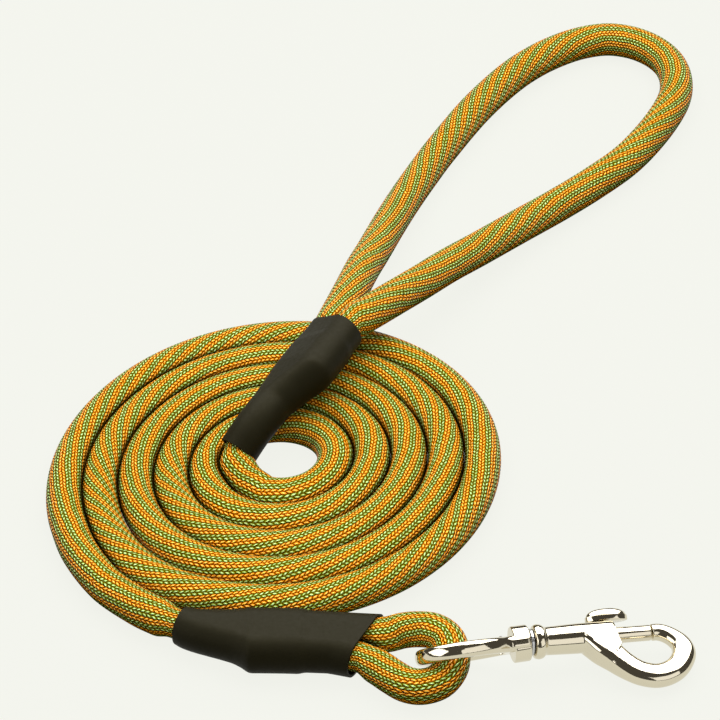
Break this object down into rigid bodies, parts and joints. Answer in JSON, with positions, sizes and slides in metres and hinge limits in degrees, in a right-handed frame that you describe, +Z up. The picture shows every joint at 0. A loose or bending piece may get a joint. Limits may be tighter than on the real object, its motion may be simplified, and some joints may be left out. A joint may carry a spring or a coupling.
{
  "type": "training leash",
  "caption": "Coiled braided rope training leash with a spliced hand loop and an eye loop that carries a swivel bolt snap, both closed by black sleeves.",
  "frame": {"origin": "bottom centre of the box around the hand loop, the eye loop, their sleeves and the snap, on the ground", "axes": "+Z up; +Y away from the snap towards the hand loop's far bend; +X towards the hook's end"},
  "size_m": [0.2223, 0.3681, 0.0325],
  "materials": {
    "rope": "orange and green herringbone braid",
    "shrink_tube": "satin black heat-shrink",
    "nickel": "polished nickel plate",
    "steel": "plain",
    "aluminium": "crimped, hidden"
  },
  "bodies": {
    "leash": {"rope_coil": "rope", "rope_lead": "rope", "rope_riser": "rope", "handle_loop": "rope", "eye_loop": "rope", "handle_sleeve": "shrink_tube", "hook_sleeve": "shrink_tube", "handle_ferrule": "aluminium", "hook_ferrule": "aluminium"},
    "swivel": {"swivel_eye": "nickel"},
    "snap": {"snap_body": "nickel", "swivel_stud": "steel", "swivel_washer": "steel", "bolt_spring": "steel"},
    "bolt": {"snap_bolt": "nickel", "thumb_knob": "nickel"}
  },
  "joints": [
    {"name": "eye_lift", "type": "hinge", "parent": "leash", "child": "swivel", "pos_m": [-0.00417, -0.1705, 0.01114], "axis": [-0.284, -0.7761, -0.5631], "range_deg": [0, 70]},
    {"name": "snap_swivel", "type": "hinge", "parent": "swivel", "child": "snap", "pos_m": [-0.01451, -0.1713, 0.0138], "axis": [0.9751, 0.2073, -0.0785], "continuous": true},
    {"name": "bolt_slide", "type": "slide", "parent": "snap", "child": "bolt", "axis": [-0.9751, -0.2073, 0.0785], "range_m": [0, 0.009], "stiffness_N_per_m": 300, "springref_m": -0.005, "deforming": ["bolt_spring"]}
  ]
}
